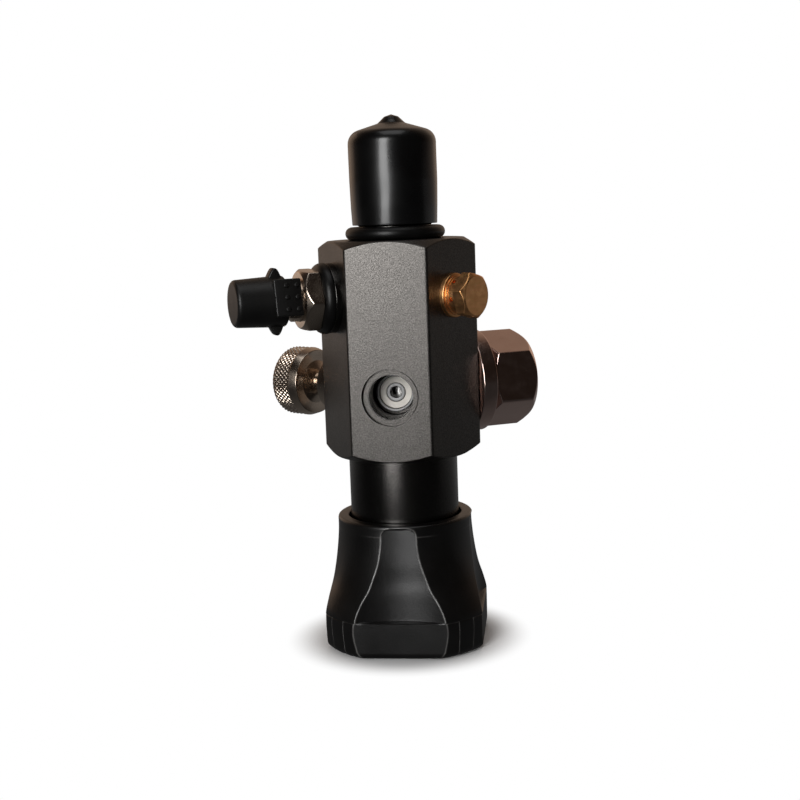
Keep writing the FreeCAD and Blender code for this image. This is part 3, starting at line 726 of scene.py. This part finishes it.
def grip_heights():
    """Heights of the grip's rings, closest together at the rounded ends and at the ledge."""
    coarse, fine = 0.2, 0.06
    return np.concatenate([
        2.2 * (1 - np.cos(np.linspace(0, math.pi / 2, 14))),
        np.arange(2.4, LEDGE - 0.4, coarse),
        np.arange(LEDGE - 0.4, LEDGE + 0.5, fine),
        np.arange(LEDGE + 0.6, 29.8, coarse),
        WHEEL_TOP - TOP_ROUNDING * (1 - np.sin(np.linspace(0, math.pi / 2, 8))),
    ])


def flute_distance(z, off):
    """Distance from the axis to a flute, hollow above the ledge and flat below it.

    off is the angle from the flute's middle, in radians.
    """
    end, half_width, corner, climb = 28.1, 2.46, 1.6, 1.6
    step = 0.12
    depth = HOLLOW_REACH - spline(z, HOLLOW_KNOTS)
    run = HOLLOW_REACH * np.cos(off)
    reached = run**2 - HOLLOW_REACH**2 + depth**2
    hollow = run - np.sqrt(np.maximum(reached, 0))
    across = np.abs(TOP_RADIUS * np.sin(off))
    beyond = np.hypot(np.maximum(across - half_width, 0), np.maximum(z - end, 0)) - corner
    hollow = hollow + np.where(z > end, np.maximum(beyond, 0) * climb, 0)
    foot = FOOT_FLAT - rounding(z, FLAT_ROUNDING)
    flat = foot / np.maximum(np.cos(off), 0.2)
    above = np.clip((z - LEDGE + step) / (2 * step), 0, 1)
    distance = hollow * above + flat * (1 - above)
    return np.where((np.cos(off) > 0.6) & (reached > 0), distance, FAR)


def handwheel_grip():
    """Fluted grip with a fine line round it at the ledge.

    The attribute that marks the flutes' edges is 1 along them and fades away from them; the material paints
    pale wear and a painted edge highlight along it.
    """
    heights = grip_heights()
    count = 1080
    wear_highlight_width = 0.13
    line_depth, line_width = 0.07, 0.13
    theta = np.arange(count) * 2 * math.pi / count
    z = heights[:, None] * np.ones(count)[None, :]
    a = np.ones(len(heights))[:, None] * theta[None, :]
    line = line_depth * np.exp(-((z - LEDGE) / line_width) ** 2)
    lobe = spline(z, LOBE_KNOTS) - rounding(z, FOOT_ROUNDING) - line
    radius = lobe
    # mask of the flutes' edges, for pale wear and a painted edge highlight
    wear_and_highlight = np.zeros_like(z)
    for k in range(FLUTE_COUNT):
        middle = math.radians(-90 + FLUTE_TURN + 360 / FLUTE_COUNT * k)
        distance = flute_distance(z, np.arctan2(np.sin(a - middle), np.cos(a - middle)))
        gap = distance - lobe
        slope = np.hypot(np.gradient(gap, heights, axis=0), np.gradient(gap, theta, axis=1) / lobe)
        wear_and_highlight = np.maximum(wear_and_highlight, np.exp(-((gap / np.maximum(slope, 0.15)) / wear_highlight_width) ** 2))
        radius = soft_min(radius, distance, 0.12)
    radius = radius - rounding(WHEEL_TOP - z, TOP_ROUNDING)
    inner = [
        (13.55, WHEEL_TOP), (13.35, WHEEL_TOP - 0.2), (13.35, 19.6), (11.05, 19.6), (11.05, 18.0),
        (7.6, 18.0), (7.6, 6.0), (8.2, 6.0), (8.2, 0.25), (8.45, 0.0),
    ]
    radius = np.vstack([radius] + [np.full(count, r) for r, _ in inner])
    z = np.vstack([z] + [np.full(count, h) for _, h in inner])
    wear_and_highlight = np.vstack([wear_and_highlight, np.zeros((len(inner), count))])
    a = np.ones(len(radius))[:, None] * theta[None, :]
    verts = np.stack([radius * np.cos(a), radius * np.sin(a), z], axis=-1).reshape(-1, 3)
    mesh = bpy.data.meshes.new("handwheel_grip")
    mesh.from_pydata([tuple(v) for v in verts * MM], [], ring_faces(len(radius), count))
    attribute = mesh.attributes.new("wear_and_highlight", "FLOAT", "POINT")
    attribute.data.foreach_set("value", wear_and_highlight.reshape(-1).astype(np.float32))
    smooth(mesh, 40)
    mesh.materials.append(materials["grip_rubber"])
    grip = placed("handwheel_grip", mesh)
    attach(grip, "handwheel")
    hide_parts("handwheel")


# ---- fill side --------------------------------------------------------------

def fill_nipple():
    """Plated nipple with its hexagon and stem, and the two rings between it and the body."""
    corner_angle = -4.2
    hexagon = hexed(13.2, corner_angle, 0.2)
    corners = [
        (5.5, 20.1), (7.4, 20.1), (7.62, 20.35), (7.62, 22.6), (6.35, 24.0, 0.2), (4.9, 24.0), (4.9, 20.1),
    ]
    turned("nipple_hex", corners, "nickel", "body", ["fill_nipple"], FILL, 360, 0.12,
           hexed_above(5.6, hexagon, 0.18), corner_angle, 38)
    stem = [
        (2.0, 35.9), (2.0, 37.4), (3.3, 37.4), (4.0, 36.6), (4.0, 31.3), (3.3, 31.0, 0.2), (3.3, 29.5, 0.2),
        (4.0, 29.2), (4.0, 26.7), (4.8, 26.0), (4.8, 20.2), (4.85, 20.1), (4.85, 8.6), (2.6, 8.6),
        (2.6, 16.0), (1.5, 16.0), (1.5, 35.4),
    ]
    turned("nipple_stem", stem, "nickel", "body", ["fill_nipple"], FILL)
    bore, joint = 4.95, 17.65
    backing = [(bore, FACE), (7.95, FACE), (7.95, joint, 0.25), (bore, joint)]
    turned("fill_backing", backing, "neck_aluminium", "body", ["fill_backing_ring"], FILL)
    seal = [(bore, joint), (8.1, joint, 0.3), (8.1, 20.1, 1.9), (bore, 20.1)]
    turned("fill_seal", seal, "seal_rubber", "body", ["fill_seal_ring"], FILL, sharp=50)


def dust_cap_shell():
    """Tapered cup that covers the nipple."""
    corners = [
        (4.65, 27.6), (5.7, 27.6, 0.3), (5.7, 31.0, 1.0), (5.3, 39.3, 0.9), (0, 39.3), (0, 38.2),
        (4.65, 38.2, 0.8),
    ]
    turned("dust_cap_shell", corners, "cap_rubber", "dust_cap", ["dust_cap"], FILL, 144, 0.5, sharp=45)


def dust_cap_ears():
    """Flat-sided lobes with rounded edges, above and below the mouth."""
    knots = [
        (27.7, 4.9), (28.2, 5.7), (28.7, 6.8), (29.1, 7.35), (29.55, 7.55), (30.0, 7.45), (30.5, 6.85),
        (31.0, 5.9), (31.6, 4.9),
    ]
    first, last, floor = 27.7, 31.6, 4.7
    lengths = np.linspace(first, last, 40)
    outline = [(t, y) for t, y in zip(lengths, spline(lengths, knots))] + [(last, floor), (first, floor)]
    edge = 0.45
    half_width = 1.5
    steps = 12
    rings = []
    for k in range(steps + 1):
        turn = math.pi * k / steps
        rings.append((-math.cos(turn), edge * (1 - math.sin(turn))))
    along, up = 29.6, 4.8
    for way, name in ((1, "dust_cap_ear_top"), (-1, "dust_cap_ear_bottom")):
        verts = []
        for side, fall in rings:
            across = side * edge + math.copysign(half_width - edge, side) * (abs(side) > 1e-6)
            size = 1 - fall / 2.2
            for t, y in outline:
                verts.append((across, way * (up + (y - up) * size), along + (t - along) * size))
        width = len(outline)
        faces = ring_faces(len(rings), width, closed=False)
        faces.append(tuple(range(width)))
        faces.append(tuple(range((len(rings) - 1) * width, len(rings) * width)))
        piece(name, (verts, faces), "cap_rubber", "dust_cap", ["dust_cap"], FILL, 60)


def rounded_block(x, y, z, radius):
    """Vertices and faces of a box with rounded edges, from three (low, high) pairs."""
    made = bmesh.new()
    bmesh.ops.create_cube(made, size=1)
    for v in made.verts:
        v.co = Vector([lo + (hi - lo) * (c + 0.5) for c, (lo, hi) in zip(v.co, (x, y, z))])
    bmesh.ops.bevel(made, geom=made.edges[:], offset=radius, segments=4, profile=0.5, affect="EDGES")
    made.verts.ensure_lookup_table()
    verts = [tuple(v.co) for v in made.verts]
    faces = [tuple(v.index for v in f.verts) for f in made.faces]
    made.free()
    return verts, faces


def merged(shapes):
    verts, faces = [], []
    for more_verts, more_faces in shapes:
        start = len(verts)
        verts += [tuple(v) for v in more_verts]
        faces += [tuple(start + i for i in face) for face in more_faces]
    return verts, faces


def moved(shape, matrix):
    verts, faces = shape
    return [tuple(matrix @ Vector(v)) for v in verts], faces


def dust_cap_tab():
    """Pull tab beside the cap, with two rows of three pips on its outer face."""
    inner, outer = 4.7, 5.75
    tilt = Matrix.Rotation(math.radians(12), 4, "Z")
    parts = [rounded_block((inner, outer), (-4.2, 4.2), (24.7, 31.0), 0.35)]
    pip = rounded([(0, -0.2), (0.62, -0.2), (0.5, 0.3, 0.18), (0, 0.36)])
    for z in (25.8, 28.2):
        for y in (-2.7, 0, 2.7):
            stand = Matrix.Translation((outer, y, z)) @ Matrix.Rotation(math.pi / 2, 4, "Y")
            parts.append(moved(lathe(pip, 20), stand))
    piece("dust_cap_tab", moved(merged(parts), tilt), "cap_rubber", "dust_cap", ["dust_cap"], FILL, 50)


# ---- burst plug, bleed screw, blanking plug, outlet -------------------------

def burst_plug():
    """Brass plug with six vent holes round its neck and a hexagonal head."""
    neck = [
        (0, 9.7), (4.05, 9.7), (4.05, FACE), (5.0, FACE), (5.0, 17.0, 0.3), (4.5, 17.1), (4.5, 17.5, 0.1),
        (4.2, 17.6), (4.2, 19.8), (0, 19.8),
    ]
    vented = turned("burst_neck", neck, "copper_brass", "body", ["burst_plug"], BURST, 128)
    hole_count, hole_level, first_hole = 6, 18.4, 9.5
    lay = Matrix.Translation((0, 0, hole_level * MM)) @ Matrix.Rotation(math.pi / 2, 4, "Y")
    drills = []
    for k in range(hole_count):
        spin = Matrix.Rotation(math.radians(first_hole + 360 / hole_count * k), 4, "Z")
        drills.append(turned_cutter([(0, 2.5), (0.5, 2.5), (0.5, 6), (0, 6)], BURST @ spin @ lay, 24))
    cut_away(vented, drills)
    corner_angle = 45.5
    hexagon = hexed(9.4, corner_angle, 0.15)
    head = [(0, 19.7), (5.43, 19.7), (5.43, 21.7), (4.4, 22.6, 0.25), (0, 22.62)]
    turned("burst_head", head, "copper_brass", "body", ["burst_plug"], BURST, 240, 0.12,
           hexed_above(3.5, hexagon, 0.15), corner_angle, 38)


def bleed_screw():
    """Thumb screw with a diamond knurl round its knob, and the round collar that it turns in."""
    start, end, outer = 26.3, 34.2, 8.4
    foot = 10.0
    rim, rim_start = 7.3, start + 1.5
    corners = [
        (0, foot), (2.5, foot, 0.3), (2.5, start - 1.0), (3.4, start - 0.7, 0.1), (5.2, start + 0.1, 0.3),
        (7.8, start, 0.2), (outer, start + 2.0, 0.15), (outer, end, 1.2), (0, end),
    ]
    teeth = 48
    lean = 0.78
    depth = 0.3

    def knurl(radius, height, theta):
        around = teeth * theta / (2 * math.pi)
        one = np.mod(around + lean * height, 1.0)
        two = np.mod(around - lean * height, 1.0)
        groove = np.maximum(np.abs(2 * one - 1), np.abs(2 * two - 1)) ** 2
        on = np.clip((height - start - 2.1) / 0.2, 0, 1) * np.clip((end - 0.15 - height) / 0.3, 0, 1)
        on = on * np.clip((radius - outer + 1.0) / 0.5, 0, 1)
        return radius - depth * groove * on

    profile = rounded(corners)
    knurled = [p for p in divided(profile, 0.1) if p[0] > rim and p[1] > rim_start]
    plain = divided([p for p in profile if p[1] < rim_start and p[0] > 0], 1.2, closed=False)
    rows = [(0, foot)] + plain + knurled + [(6.0, end), (0, end)]
    made = lathe(rows, teeth * 12, knurl)
    piece("bleed_knob", made, "nickel", "bleed_screw", ["bleed_screw"], BLEED, 55)
    collar = [
        (2.6, 10.6), (4.9, 10.6), (4.9, FACE), (6.5, FACE), (6.5, 20.6, 0.1), (5.7, 21.4), (2.6, 21.4),
    ]
    turned("bleed_collar_skin", collar, "nickel", "body", ["bleed_collar"], BLEED)


def blanking_plug():
    """Chrome hex plug on a round collar; the head is chamfered at both ends and dished."""
    flats = 20.0
    corner_angle = 22.9
    seat = FACE + 0.05
    collar = [
        (0, 8.6), (6.5, 8.6, 0.5), (6.5, seat), (12.1, seat, 0.3), (12.1, 19.5, 0.3), (10.6, 20.2),
        (0, 20.2),
    ]
    turned("blank_collar", collar, "plug_chrome", "body", ["port_plug"], BLANK, 192)
    hexagon = hexed(flats, corner_angle, 0.25)
    corner = flats / math.sqrt(3)
    head = [
        (0, 20.15), (9.85, 20.15), (corner, 21.4), (corner, 29.3), (9.85, 31.0, 0.2), (6.1, 31.0, 0.15),
        (5.5, 30.4), (0, 29.8),
    ]
    turned("blank_hex", head, "plug_chrome", "body", ["port_plug"], BLANK, 360, 0.15,
           hexed_above(7, hexagon, 0.22), corner_angle, 38)


def outlet_fittings():
    """Nozzle at the bottom of the outlet port, with the plastic ring in its face and a small ferrule."""
    nozzle = [
        (2.25, 4.6), (3.0, 4.6), (3.0, 5.9), (4.4, 5.9), (4.4, 8.2, 0.25), (3.8, 8.2, 0.15), (3.8, 6.35),
        (2.25, 6.35),
    ]
    turned("outlet_nozzle_skin", nozzle, "dull_steel", "body", ["outlet_nozzle"], OUTLET, 96)
    face_seal = [(2.25, 6.35), (3.7, 6.35), (3.7, 7.25, 0.15), (2.25, 7.25, 0.1)]
    turned("outlet_face_seal_skin", face_seal, "seal_plastic", "body", ["outlet_face_seal"], OUTLET, 96)
    ferrule = [(1.3, 4.7), (2.2, 4.7), (2.2, 7.35, 0.25), (1.3, 7.35, 0.2)]
    turned("outlet_ferrule_skin", ferrule, "dull_steel", "body", ["outlet_ferrule"], OUTLET, 96)


# ---- everything -------------------------------------------------------------

add_camera()
add_world()
add_lights()
bpy.context.scene.view_settings.view_transform = "Standard"
add_floor()

materials = make_materials()
slots = {part["node"]: part["material_slot"] for part in frame["record"]["subparts"]}
for node, thing in frame["nodes"].items():
    thing.data.materials.clear()
    thing.data.materials.append(materials[slots[node]])

body_block()
tank_stub()
outlet_thread()
tank_seal()
tank_cap()
bonnet()
handwheel_grip()
fill_nipple()
dust_cap_shell()
dust_cap_ears()
dust_cap_tab()
burst_plug()
bleed_screw()
blanking_plug()
outlet_fittings()
